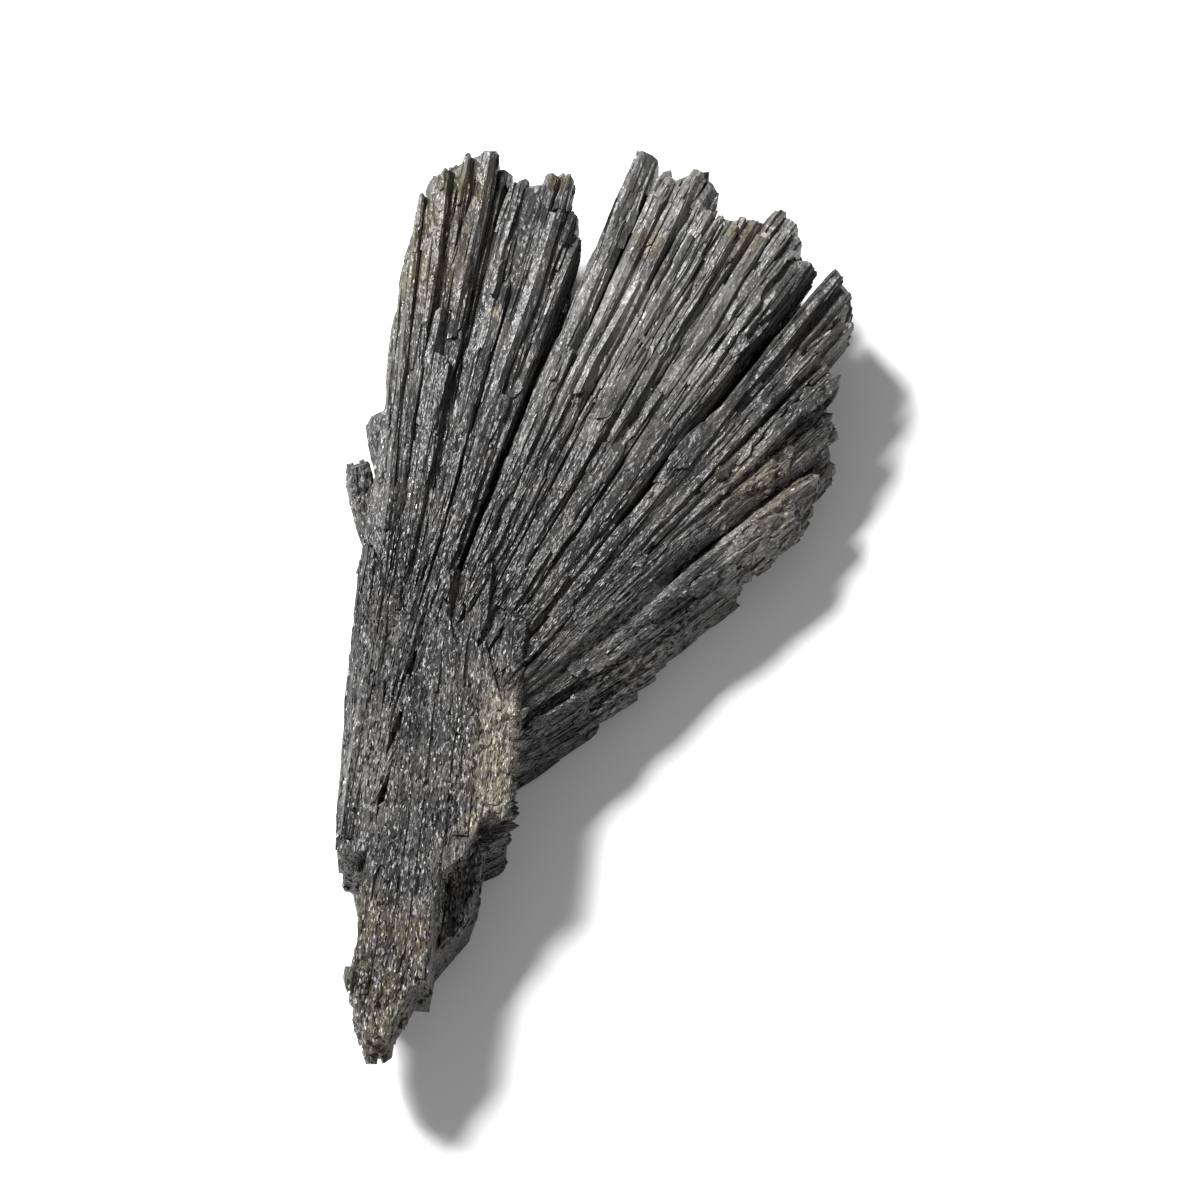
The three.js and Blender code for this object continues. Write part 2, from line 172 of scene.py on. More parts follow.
# Flat slabs beside the stem, on the left blade's foot: both ends of the top and the width, in millimetres,
# with the ends counted from the apex
FOOT_SLABS = [((1.0, 1.8, 8.6), (2.2, 13, 8.75), 2.3), ((2.5, 6.5, 8.25), (4.1, 18, 8.35), 1.4)]
SLAB_DEPTH = 2.5 * MM
SLAB_ROLL = math.radians(-10)

# The groove between that foot and the stem, given in the same way
GROOVE = ((2.55, 5.5, 9.7), (5.9, 24, 9.7), 0.8)
GROOVE_DEPTH = 1.7 * MM

# The sharp edges that are chipped: how far they turn, their least length and how high they lie
SHARP_ANGLE = math.radians(35)
SHARP_LENGTH = 1.5 * MM
SHARP_ABOVE = 0.5 * MM

# A chip's half length and its depth are shares of the largest. Its half width and how far out it lies are
# shares of its depth, and it turns by some degrees.
CHIP_LENGTH, CHIP_DEPTH = (0.1, 0.5), (0.3, 1)
CHIP_WIDTH, CHIP_OUT, CHIP_TURN = 1.2, (0.2, 0.6), 4

# What scatters a facet's facing and its level into a tone between 0 and 1
TONE_FACING, TONE_LEVEL, TONE_SCATTER = (12.9898, 78.233, 37.719), 4.1414, 43758.5453

# Sizes of the finish's patterns across, along and above the grain, or all ways
GRAIN_SIZE = (0.12 * MM, 0.34 * MM, 0.17 * MM)
TILE_SIZE, TILE_SLANT = (0.27 * MM, 1.5 * MM, 0.4 * MM), 0.37
STREAK_SIZE = (0.45 * MM, 7 * MM, 0.6 * MM)
STRIA_SIZE = (0.17 * MM, 0.5 * MM, 0.25 * MM)
PATCH_SIZE = (5 * MM,) * 3
SPARKLE_SIZE = (3.5 * MM,) * 3

# How far the striae stand out, how far tiles and grains tilt, and how the mineral bends light
STRIA_STRENGTH, STRIA_DEPTH = 0.8, 0.15 * MM
TILE_TILT, GRAIN_TILT = 0.22, 0.64
KYANITE_IOR = 1.6

# The colour is darker near the root, with painted shade on the right blade, and paler in the outer middle,
# with painted light on the wing and the stem. The root and the reach are distances along the grain, and the
# rest are distances across it.
DARK_ROOT = (18 * MM, 42 * MM)
RIGHT_BLADE_PAINTED_SHADE = ((18.3 * MM, 19.2 * MM), (21.5 * MM, 22.6 * MM))
PALE_MIDDLE = ((9.8 * MM, 10.6 * MM), (17.6 * MM, 18.3 * MM))
PALE_REACH = (34 * MM, 50 * MM)
WING_PAINTED_LIGHT = (21.8 * MM, 23.2 * MM)

# Stains and glints: places in millimetres from the apex, and how far they spread. The glints are painted
# highlights, with paler colour, as well as glossier and more tilted grains.
OCHRE_STAINS = [
    ((4.8, 50.5, 8), 6), ((6, 54.5, 8), 4), ((7.9, 57.6, 8.2), 4), ((15.5, 58.3, 8.5), 2),
    ((21.9, 52.3, 8.8), 2), ((29.3, 53.4, 8.8), 3), ((2, -3.5, 8.3), 4), ((3, -8.6, 8), 5),
    ((3, -12, 7.5), 4.5), ((5.4, -5, 8.5), 3.5), ((30.5, 32.5, 6.5), 6),
]
CRUST_PLACES = [
    ((11.2, 12, 9.2), 3.6), ((11.4, 9.4, 9.2), 4), ((11.2, 6.4, 9), 3.4), ((9.8, 4, 9), 1.8),
    ((29.4, 53.7, 9), 0.8), ((22.4, 52.8, 9), 0.7), ((10.5, 46.4, 8.8), 0.8), ((8.2, 53.9, 8.6), 0.7),
    ((16, 58.9, 8.6), 0.7),
]
GLINT_PLACES = [
    ((18.9, 47.8, 8.8), 5), ((25.3, 54.5, 8.8), 2.5), ((2.6, 32.6, 7.8), 6), ((0.5, 9, 8.4), 6),
    ((1.5, 17.5, 8), 5), ((29, 31, 6.5), 8), ((20, 20, 6), 8),
]

# The studio: the floor, the light from all round, and the lamps' names, places, sizes and watts
FLOOR_HALF, FLOOR_ROUGHNESS = 1.5, 0.6
WORLD_STRENGTH = 0.22
SOFTBOXES = [("key", (-0.36, 0.32, 0.50), 0.2, 13.0), ("fill", (0.35, -0.45, 0.5), 0.5, 1.0)]
CLIP_START = 0.01


class CrystalSettings(bpy.types.PropertyGroup):
    """Numbers and sizes of the shapes that cover the fan and of the chips off its edges."""

    seed: IntProperty(name="Seed", description="Picks the arrangement of the slivers", default=7)
    patterns: IntProperty(
        name="Patterns", description="How many different shapes of each kind there are", default=24)
    blades: IntProperty(name="Blades", description="How many broad slivers are tried", default=320)
    slivers: IntProperty(name="Slivers", description="How many fine slivers are tried", default=3400)
    lumps: IntProperty(name="Lumps", description="How many lumps are tried", default=1400)
    chunks: IntProperty(
        name="Chunks", description="How many lumps are tried in each lumpy place", default=90)
    blade_width: FloatProperty(
        name="Blade width", description="Widest broad sliver", default=1.4 * MM, unit="LENGTH")
    blade_length: FloatProperty(
        name="Blade length", description="Longest broad sliver", default=20 * MM, unit="LENGTH")
    blade_rise: FloatProperty(
        name="Blade rise", description="How far a broad sliver stands out",
        default=0.34 * MM, unit="LENGTH")
    sliver_width: FloatProperty(
        name="Sliver width", description="Widest fine sliver", default=0.55 * MM, unit="LENGTH")
    sliver_length: FloatProperty(
        name="Sliver length", description="Longest fine sliver", default=7 * MM, unit="LENGTH")
    sliver_rise: FloatProperty(
        name="Sliver rise", description="How far a fine sliver stands out", default=0.2 * MM, unit="LENGTH")
    flakes: IntProperty(name="Flakes", description="How many flakes are tried", default=420)
    flake_size: FloatProperty(
        name="Flake size", description="Longest flake", default=5 * MM, unit="LENGTH")
    flake_rise: FloatProperty(
        name="Flake rise", description="How far a flake stands out", default=0.2 * MM, unit="LENGTH")
    chips: IntProperty(name="Chips", description="How many chips are taken off sharp edges", default=900)
    chip_length: FloatProperty(
        name="Chip length", description="Longest chip", default=5 * MM, unit="LENGTH")
    chip_depth: FloatProperty(
        name="Chip depth", description="Deepest chip", default=0.4 * MM, unit="LENGTH")
    lump_size: FloatProperty(
        name="Lump size", description="Largest lump on a broken end", default=0.9 * MM, unit="LENGTH")


class FinishSettings(bpy.types.PropertyGroup):
    """Colours of the kyanite."""

    dark: FloatVectorProperty(
        name="Dark", description="Darkest mineral", default=(0.006, 0.006, 0.0065), subtype="COLOR")
    grey: FloatVectorProperty(
        name="Grey", description="Most of the mineral", default=(0.050, 0.0485, 0.0465), subtype="COLOR")
    pale: FloatVectorProperty(
        name="Pale", description="Brightest grains", default=(0.19, 0.186, 0.182), subtype="COLOR")
    brown: FloatVectorProperty(
        name="Brown", description="Weathered brown tint", default=(0.058, 0.046, 0.035), subtype="COLOR")
    ochre: FloatVectorProperty(
        name="Ochre", description="Iron stain", default=(0.082, 0.064, 0.026), subtype="COLOR")
    crust: FloatVectorProperty(
        name="Crust", description="Pale crust beside the stem",
        default=(0.205, 0.182, 0.134), subtype="COLOR")


class StudioSettings(bpy.types.PropertyGroup):
    """The camera and the floor's colour."""

    elevation: FloatProperty(
        name="Elevation", description="Camera above the horizon", default=math.radians(62), unit="ROTATION")
    lens: FloatProperty(name="Lens", description="Focal length in millimetres", default=180)
    filling: FloatProperty(
        name="Filling", description="Share of the frame's height that the fan takes", default=0.8)
    floor: FloatVectorProperty(
        name="Floor", description="Pale floor", default=(0.86, 0.86, 0.86), subtype="COLOR")


def from_apex(x, y, z):
    """A place given in millimetres from the apex."""
    return APEX + Vector((x, y, z)) * MM


def blade_frame(x, y):
    """Angle of the blades and distance along them, at plan points from the apex."""
    angle = np.arctan2(x, y)
    lift = 0 * angle
    # The lift goes by the angle and the angle by the lift, so both settle in a few rounds
    for _ in range(3):
        share = np.clip((angle - FLANK_FROM) / (FLANK_TO - FLANK_FROM), 0, 1)
        lift = FLANK_LIFT * share * share * (3 - 2 * share)
        angle = np.arctan2(x, y - lift)
    return angle, np.hypot(x, y - lift)


def on_stem(x, y, z):
    """Whether points, with plan places from the apex, belong to the stem."""
    bottom, top = STEM_BOTTOM_TOP
    left, lean = STEM_LEFT
    across = (x > left + lean * np.maximum(y, 0)) & (x < STEM_RIGHT)
    return (y < bottom) | (across & (y < top) & (z > STEM_CREST))


def on_foot(x, y):
    """Whether plan places from the apex belong to the left blade's foot, beside the stem."""
    left, lean = STEM_LEFT
    return (x < left + lean * y) & (y < STEM_BOTTOM_TOP[1])


def is_calm(point):
    """Whether a point is where few slivers stand out."""
    x, y = point.x - APEX.x, point.y - APEX.y
    angle, distance = blade_frame(x, y)
    on_plate = CALM_ANGLES[0] < angle < CALM_ANGLES[1] and CALM_DISTANCES[0] < distance < CALM_DISTANCES[1]
    return on_plate or on_stem(x, y, point.z)


def grain_direction(point):
    """The way the crystals run at a point, level with the floor."""
    x, y = point.x - APEX.x, point.y - APEX.y
    if on_stem(x, y, point.z):
        return Vector((STEM_LEAN, 1, 0)).normalized()
    angle, _ = blade_frame(x, y)
    return Vector((math.sin(angle), math.cos(angle), 0))


class Pattern:
    """A shape from about -1 to 1, X across the grain, Y along it and Z up, to be laid on the solid."""

    def __init__(self, bm):
        bmesh.ops.recalc_face_normals(bm, faces=bm.faces)
        self.corners = np.array([vert.co for vert in bm.verts])
        self.faces = [[vert.index for vert in face.verts] for face in bm.faces]
        self.lean = np.zeros(len(self.corners))
        bm.free()

    def laid(self, axes, centre):
        """Corner places. The lean of the ends goes by the width, so it doesn't grow with the length."""
        across, along, _ = axes
        slant = np.outer(self.lean, np.array(along.normalized()) * across.length)
        return self.corners @ np.array(axes) + slant + np.array(centre)


def sliver_pattern(chance):
    """A prism along the grain with uneven rings and slanting broken ends."""
    bm = bmesh.new()
    sides = chance.choice((5, 5, 6, 6))
    bmesh.ops.create_cone(bm, cap_ends=True, cap_tris=False, segments=sides, radius1=1, radius2=1, depth=2)
    upright = [edge for edge in bm.edges if abs(edge.verts[0].co.z - edge.verts[1].co.z) > 1]
    bmesh.ops.subdivide_edges(bm, edges=upright, cuts=2)
    rings = {}
    for vert in bm.verts:
        rings.setdefault(round(vert.co.z, 3), []).append(vert)
    for place, ring in rings.items():
        tip = abs(place) > TIP_PLACE
        wide = chance.uniform(*(TIP_WIDTH if tip else RING_WIDTH))
        tall = chance.uniform(*(TIP_HEIGHT if tip else RING_HEIGHT))
        bmesh.ops.scale(bm, verts=ring, vec=(wide, tall, 1))
        along = 0 if tip else chance.uniform(*RING_ALONG)
        shift = (chance.uniform(*RING_SIDEWAYS), chance.uniform(*RING_UPWARDS), along)
        bmesh.ops.translate(bm, verts=ring, vec=shift)
    bmesh.ops.rotate(bm, verts=bm.verts, matrix=Matrix.Rotation(math.radians(-90), 3, "X"))
    pattern = Pattern(bm)
    for tip in (pattern.corners[:, 1] > TIP_PLACE, pattern.corners[:, 1] < -TIP_PLACE):
        slope = (chance.uniform(*TIP_LEAN_ACROSS), 0, chance.uniform(*TIP_LEAN_UP))
        pattern.lean[tip] = pattern.corners[tip] @ slope
    return pattern


def lump_pattern(chance):
    """An angular lump."""
    bm = bmesh.new()
    bmesh.ops.create_icosphere(bm, subdivisions=1, radius=1)
    for vert in bm.verts:
        bmesh.ops.translate(bm, verts=[vert], vec=[chance.uniform(*LUMP_JOLT) for _ in range(3)])
    return Pattern(bm)


def flake_pattern(chance):
    """A flat flake with a ragged outline."""
    bm = bmesh.new()
    bmesh.ops.create_cone(bm, cap_ends=True, cap_tris=False, segments=9, radius1=1, radius2=0.9, depth=2)
    columns = {}
    for vert in bm.verts:
        columns.setdefault(round(math.atan2(vert.co.y, vert.co.x), 2), []).append(vert)
    for column in columns.values():
        reach = chance.uniform(*FLAKE_RAGGED)
        bmesh.ops.scale(bm, verts=column, vec=(reach, reach, chance.uniform(*FLAKE_UNEVEN)))
    return Pattern(bm)


def slab_pattern(chance):
    """A long block with uneven sides and ends."""
    bm = bmesh.new()
    bmesh.ops.create_cube(bm, size=2)
    lengthwise = [edge for edge in bm.edges if abs(edge.verts[0].co.y - edge.verts[1].co.y) > 1]
    bmesh.ops.subdivide_edges(bm, edges=lengthwise, cuts=5)
    for vert in bm.verts:
        bmesh.ops.translate(bm, verts=[vert], vec=[chance.uniform(*jolt) for jolt in SLAB_JOLTS])
    return Pattern(bm)


class SurfaceWalk:
    """Random places on the fan's solid, and how far the surface runs on from them."""

    probe = 0.6 * MM
    stride = 0.5 * MM
    back_facing = -0.5
    tries = 400

    def __init__(self, bm, chance):
        self.tree = BVHTree.FromBMesh(bm)
        self.chance = chance
        self.faces = [face for face in bm.faces if face.normal.z > self.back_facing]
        self.sums = np.cumsum([face.calc_area() for face in self.faces])

    def place(self):
        """A random point on the solid, but not on its back, and the way the surface faces there."""
        pick = np.searchsorted(self.sums, self.chance.random() * self.sums[-1])
        face = self.faces[min(pick, len(self.faces) - 1)]
        a, b, c = (vert.co for vert in face.verts)
        u, v = self.chance.random(), self.chance.random()
        if u + v > 1:
            u, v = 1 - u, 1 - v
        return a + u * (b - a) + v * (c - a), face.normal.copy()

    def place_near(self, centre, spread):
        """A random point like those of place(), near a centre, or None where it isn't found soon."""
        for _ in range(self.tries):
            point, out = self.place()
            if (point - centre).length < spread:
                return point, out
        return None

    def run(self, point, up, along, furthest, step):
        """How far the surface goes on along a line before it steps up or down."""
        gone = 0.0
        while gone < furthest:
            start = point + along * (gone + self.stride) + up * self.probe
            hit, _, _, depth = self.tree.ray_cast(start, -up, 2 * self.probe)
            if hit is None or abs(depth - self.probe) > step:
                break
            gone += self.stride
        return gone


def lay_sliver(walk, longest, widest, rise):
    """Axes and centre of one sliver laid on the solid, or None where it has no room."""
    chance = walk.chance
    point, up = walk.place()
    share = CALM_SHARE if is_calm(point) else 1
    grain = grain_direction(point)
    along = grain - up * grain.dot(up)
    if along.length < LEAST_GRAIN or chance.random() > share:
        return None
    rise *= share
    along.normalize()
    drift = Matrix.Rotation(math.radians(chance.gauss(0, SLIVER_DRIFT)), 3, up)
    along = drift @ along
    length = longest * share * chance.uniform(*SLIVER_LENGTH) ** SLIVER_SKEW
    ahead = walk.run(point, up, along, length / 2, rise)
    behind = walk.run(point, up, -along, length / 2, rise)
    if ahead + behind < LEAST_SLIVER:
        return None
    width = widest * chance.uniform(*SLIVER_WIDTH)
    proud = rise * chance.uniform(*SLIVER_RISE)
    sunk = SUNK_SHARE * rise + SUNK_LEAST
    side = along.cross(up)
    tilt = Matrix.Rotation(math.radians(chance.gauss(0, SLIVER_TILT)), 3, along)
    axes = (tilt @ side * width / 2, along * (ahead + behind) / 2, tilt @ up * (proud + sunk) / 2)
    centre = point + along * (ahead - behind) / 2 + up * (proud - sunk) / 2
    return axes, centre


def lump_at(chance, point, out, size, sunk):
    """Axes and centre of a lump of a size, a little longer along the grain, sunk by shares of its size."""
    along = grain_direction(point)
    side = along.cross(Vector((0, 0, 1))).normalized()
    up = side.cross(along)
    stretch = chance.uniform(*LUMP_STRETCH)
    axes = (side * size / 2, along * size * stretch / 2, up * size * chance.uniform(*LUMP_HEIGHT) / 2)
    return axes, point - out * size * chance.uniform(*sunk)


def lay_lump(walk, largest):
    """A lump on a broken end or, smaller and not as often, on another face."""
    chance = walk.chance
    point, out = walk.place()
    at_end = abs(grain_direction(point).dot(out)) > END_FACING
    if not at_end and chance.random() > OTHER_LUMPS:
        return None
    size = largest * chance.uniform(*LUMP_SIZE) * (1 if at_end else OTHER_LUMP_SIZE)
    return lump_at(chance, point, out, size, LUMP_SUNK)


def lay_chunk(walk, centre, spread, largest):
    """A lump in a lumpy place, or None where the place isn't found soon."""
    place = walk.place_near(from_apex(*centre), spread * MM)
    if place is None:
        return None
    size = largest * MM * walk.chance.uniform(*LUMP_SIZE)
    return lump_at(walk.chance, *place, size, CHUNK_SUNK)


def lay_flake(walk, largest, thick):
    """Axes and centre of a flake on an upper face, mostly near the stem, or None where it has no room."""
    chance = walk.chance
    point, up = walk.place()
    near = Vector((point.x - APEX.x, point.y - APEX.y)).length < FLAKED_REACH
    if up.z < UPPER_FACING or is_calm(point) or not (near or chance.random() < FAR_FLAKES):
        return None
    along = grain_direction(point)
    along = (along - up * along.dot(up)).normalized()
    side = along.cross(up)
    width = largest * chance.uniform(*FLAKE_WIDTH)
    length = largest * chance.uniform(*FLAKE_LENGTH)
    room = [walk.run(point, up, way, size / 3, thick) for way, size in (
        (along, length), (-along, length), (side, width), (-side, width))]
    if min(room) < walk.stride:
        return None
    proud = thick * chance.uniform(*FLAKE_RISE)
    lift = Matrix.Rotation(math.radians(chance.gauss(0, FLAKE_LIFT)), 3, side)
    axes = (side * width / 2, lift @ along * length / 2, lift @ up * (proud + 2 * thick) / 2)
    return axes, point + up * (proud / 2 - thick)


def lay_slab(foot, head, width, depth, roll):
    """Axes and centre of a slab whose top runs from a foot to a head, rolled about its length."""
    foot, head = from_apex(*foot), from_apex(*head)
    along = (head - foot) / 2
    turn = Matrix.Rotation(roll, 3, along)
    side = turn @ along.cross(Vector((0, 0, 1))).normalized() * width * MM / 2
    up = side.cross(along).normalized() * depth / 2
    return (side, along, up), (foot + head) / 2 - up


def lay_chip(chance, edge, longest, deepest):
    """Axes and centre of a chip to be taken off a sharp edge."""
    start, end = (vert.co for vert in edge.verts)
    along = (end - start).normalized()
    out = sum((face.normal for face in edge.link_faces), Vector()).normalized()
    deep = deepest * chance.uniform(*CHIP_DEPTH)
    turn = Matrix.Rotation(math.radians(chance.gauss(0, CHIP_TURN)), 3, out)
    side = along.cross(out) * deep * CHIP_WIDTH
    axes = (side, turn @ along * longest * chance.uniform(*CHIP_LENGTH), out * deep)
    return axes, start.lerp(end, chance.random()) + out * deep * chance.uniform(*CHIP_OUT)


def add_shape(places, faces, collection):
    """A closed shape with its corners in their places, as an object in a collection."""
    mesh = bpy.data.meshes.new("shape")
    mesh.from_pydata(places, [], faces)
    collection.objects.link(bpy.data.objects.new("shape", mesh))


def chips_off(bm, sizes):
    """A collection of chips along the sharp edges of the solid and the groove, to be taken off it."""
    chance = random.Random(sizes.seed)
    patterns = [sliver_pattern(chance) for _ in range(sizes.patterns)]
    edges = [edge for edge in bm.edges if edge.calc_face_angle_signed(0) > SHARP_ANGLE
             and edge.calc_length() > SHARP_LENGTH and min(vert.co.z for vert in edge.verts) > SHARP_ABOVE]
    lengths = [edge.calc_length() for edge in edges]
    collection = bpy.data.collections.new("chips")
    for edge in chance.choices(edges, lengths, k=sizes.chips):
        pattern = chance.choice(patterns)
        places = pattern.laid(*lay_chip(chance, edge, sizes.chip_length, sizes.chip_depth))
        add_shape(places, pattern.faces, collection)
    groove = slab_pattern(chance)
    add_shape(groove.laid(*lay_slab(*GROOVE, GROOVE_DEPTH, 0)), groove.faces, collection)
    return collection


def solid_copy():
    """The fan's solid as a bmesh with its corners merged."""
    bm = bmesh.new()
    bm.from_mesh(frame["nodes"][FAN_NODE].data)
    bmesh.ops.remove_doubles(bm, verts=bm.verts, dist=MERGE_DISTANCE)
    return bm


def cover(bm, sizes):
    """A collection of slivers, lumps, flakes and slabs along the grain, to be joined to the solid."""
    chance = random.Random(sizes.seed)
    slivers = [sliver_pattern(chance) for _ in range(sizes.patterns)]
    lumps = [lump_pattern(chance) for _ in range(sizes.patterns)]
    flakes = [flake_pattern(chance) for _ in range(sizes.patterns)]
    walk = SurfaceWalk(bm, chance)
    laid = []
    for _ in range(sizes.blades):
        laid.append((slivers, lay_sliver(walk, sizes.blade_length, sizes.blade_width, sizes.blade_rise)))
    for _ in range(sizes.slivers):
        laid.append((slivers, lay_sliver(walk, sizes.sliver_length, sizes.sliver_width, sizes.sliver_rise)))
    for _ in range(sizes.lumps):
        laid.append((lumps, lay_lump(walk, sizes.lump_size)))
    for lumpy in LUMPY_PLACES:
        for _ in range(sizes.chunks):
            laid.append((lumps, lay_chunk(walk, *lumpy)))
    for _ in range(sizes.flakes):
        laid.append((flakes, lay_flake(walk, sizes.flake_size, sizes.flake_rise)))
    for slab in FOOT_SLABS:
        laid.append(([slab_pattern(chance)], lay_slab(*slab, SLAB_DEPTH, SLAB_ROLL)))
    collection = bpy.data.collections.new("cover")
    for patterns, place in laid:
        if place:
            pattern = chance.choice(patterns)
            places = pattern.laid(*place)
            if places[:, 2].min() > LEAST_ABOVE and places[:, 2].max() < FAN_HIGH.z + MOST_ABOVE:
                add_shape(places, pattern.faces, collection)
    return collection


def combine(piece, operation, collection):
    """Joins a collection of closed shapes to a piece, or takes them off it, and clears the collection."""
    boolean = piece.modifiers.new("boolean", "BOOLEAN")
    boolean.operation = operation
    boolean.solver = "MANIFOLD"
    boolean.operand_type = "COLLECTION"
    boolean.collection = collection
    seen = piece.evaluated_get(bpy.context.evaluated_depsgraph_get())
    joined = bpy.data.meshes.new_from_object(seen)
    piece.modifiers.clear()
    piece.data = joined
    for part in list(collection.objects):
        bpy.data.meshes.remove(part.data)
    bpy.data.collections.remove(collection)


def keep_largest_shell(mesh):
    """Takes away what isn't joined to the main body."""
    bm = bmesh.new()
    bm.from_mesh(mesh)
    left = set(bm.faces)
    shells = []
    while left:
        shell, waiting = set(), [left.pop()]
        while waiting:
            face = waiting.pop()
            shell.add(face)
            near = {other for edge in face.edges for other in edge.link_faces} & left
            left -= near
            waiting.extend(near)
        shells.append(shell)
    largest = max(shells, key=len)
    bmesh.ops.delete(bm, geom=[face for face in bm.faces if face not in largest], context="FACES")
    bm.to_mesh(mesh)
    bm.free()


def write_grain(mesh):
    """Writes grain, the place across, along and above the crystals, and tone, one value a facet."""
    count = len(mesh.polygons)
    centres, normals = np.empty(count * 3), np.empty(count * 3)
    mesh.polygons.foreach_get("center", centres)
    mesh.polygons.foreach_get("normal", normals)
    centres, normals = centres.reshape(-1, 3), normals.reshape(-1, 3)
    x, y = centres[:, 0] - APEX.x, centres[:, 1] - APEX.y
    totals = np.empty(count, int)
    mesh.polygons.foreach_get("loop_total", totals)
    stem = np.repeat(on_stem(x, y, centres[:, 2]) | on_foot(x, y), totals)
    corner_verts = np.empty(len(mesh.loops), int)
    mesh.loops.foreach_get("vertex_index", corner_verts)
    places = np.empty(len(mesh.vertices) * 3)
    mesh.vertices.foreach_get("co", places)
    places = places.reshape(-1, 3)[corner_verts]
    x, y, z = places[:, 0] - APEX.x, places[:, 1] - APEX.y, places[:, 2]
    angle, distance = blade_frame(x, y)
    across = np.where(stem, x - STEM_LEAN * y + SPRAY_RADIUS, angle * SPRAY_RADIUS / 2)
    along = np.where(stem, y, distance)
    grain = mesh.attributes.new("grain", "FLOAT_VECTOR", "CORNER")
    grain.data.foreach_set("vector", np.column_stack((across, along, z)).ravel())
    level = (centres * normals).sum(axis=1) / MM
    mixed = np.sin(np.round(normals, 2) @ TONE_FACING + np.round(level, 1) * TONE_LEVEL) * TONE_SCATTER
    tone = mesh.attributes.new("tone", "FLOAT", "FACE")
    tone.data.foreach_set("value", mixed - np.floor(mixed))


class Number:
    """A socket that carries a number, so that shader maths reads as Python."""

    def __init__(self, finish, socket):
        self.finish = finish
        self.socket = socket

    def math(self, operation, *values):
        node = self.finish.node("ShaderNodeMath", {"operation": operation}, dict(enumerate(values)))
        return Number(self.finish, node.outputs[0])

    def __add__(self, other):
        return self.math("ADD", self, other)

    def __sub__(self, other):
        return self.math("SUBTRACT", self, other)

    def __rsub__(self, other):
        return self.math("SUBTRACT", other, self)

    def __mul__(self, other):
        return self.math("MULTIPLY", self, other)

    __radd__ = __add__
    __rmul__ = __mul__


class Finish:
    """A material and its nodes."""

    def __init__(self, name):
        self.material = bpy.data.materials.new(name)
        self.material.use_nodes = True
        self.tree = self.material.node_tree
        self.tree.nodes.clear()

    def node(self, kind, settings=None, sockets=None):
        """A node with its settings made first, then the values or links of its sockets."""
        node = self.tree.nodes.new(kind)
        for name, value in (settings or {}).items():
            setattr(node, name, value)
        for name, value in (sockets or {}).items():
            if isinstance(value, Number):
                value = value.socket
            if isinstance(value, bpy.types.NodeSocket):
                self.tree.links.new(value, node.inputs[name])
            else:
                node.inputs[name].default_value = value
        return node

    def place(self):
        """Object coordinates."""
        return self.node("ShaderNodeTexCoord").outputs["Object"]

    def attribute(self, name):
        return self.node("ShaderNodeAttribute", {"attribute_name": name})

    def vector(self, operation, sockets):
        """The vector that a Vector Math node makes of its sockets."""
        return self.node("ShaderNodeVectorMath", {"operation": operation}, sockets).outputs[0]

    def stretched(self, vector, lengths):
        """A vector counted in the given lengths along X, Y and Z."""
        return self.vector("MULTIPLY", {0: vector, 1: tuple(1 / length for length in lengths)})

    def noise(self, vector, lengths, detail=2.0, roughness=0.55):
        """Noise from 0 to 1, with features of about the given lengths."""
        node = self.node("ShaderNodeTexNoise", None, {
            "Vector": self.stretched(vector, lengths), "Scale": 1.0,
            "Detail": detail, "Roughness": roughness})
        return Number(self, node.outputs[0])

    def cells(self, vector, lengths):
        """Many small cells of about the given lengths, each with a random vector."""
        node = self.node("ShaderNodeTexVoronoi", {"feature": "F1"}, {
            "Vector": self.stretched(vector, lengths), "Scale": 1.0})
        return node.outputs["Color"]

    def tiles(self, vector, lengths, slant):
        """A random vector in each tile of the given lengths, with the tiles' ends slanting across X."""
        x, y, z = self.parts(self.stretched(vector, lengths))
        slanted = self.node("ShaderNodeCombineXYZ", None, {0: x, 1: y + x * slant, 2: z})
        corner = self.vector("FLOOR", {0: slanted.outputs[0]})
        return self.node("ShaderNodeTexWhiteNoise", None, {"Vector": corner}).outputs["Color"]

    def parts(self, vector):
        """The three numbers in a vector."""
        node = self.node("ShaderNodeSeparateXYZ", None, {0: vector})
        return [Number(self, socket) for socket in node.outputs]

    def tilted(self, normal, cells, slope):
        """A normal tilted another way in each cell."""
        middle = self.vector("SUBTRACT", {0: cells, 1: (0.5, 0.5, 0.5)})
        tilt = self.vector("SCALE", {0: middle, "Scale": slope * 2})
        total = self.vector("ADD", {0: normal, 1: tilt})
        return self.vector("NORMALIZE", {0: total})

    def ramp(self, value, low, high):
        """0 below low, 1 above high, smooth between."""
        node = self.node("ShaderNodeMapRange", {"interpolation_type": "SMOOTHSTEP"}, {
            "Value": value, "From Min": low, "From Max": high})
        return Number(self, node.outputs[0])

    def mix(self, factor, first, second):
        """A colour between two."""
        node = self.node("ShaderNodeMix", {"data_type": "RGBA"}, {
            0: factor, 6: colour(first), 7: colour(second)})
        return node.outputs[2]

    def stains(self, vector, places):
        """1 in the middle of each stain, falling to 0 at its edge."""
        total = None
        for centre, spread in places:
            node = self.node("ShaderNodeVectorMath", {"operation": "DISTANCE"}, {
                0: vector, 1: from_apex(*centre)})
            stain = self.ramp(1 - Number(self, node.outputs["Value"]) * (1 / (spread * MM)), 0.0, 0.9)
            total = stain if total is None else total.math("MAXIMUM", total, stain)
        return total


def colour(value):
    """A colour as a socket takes it."""
    return value if isinstance(value, bpy.types.NodeSocket) else (*value, 1.0)


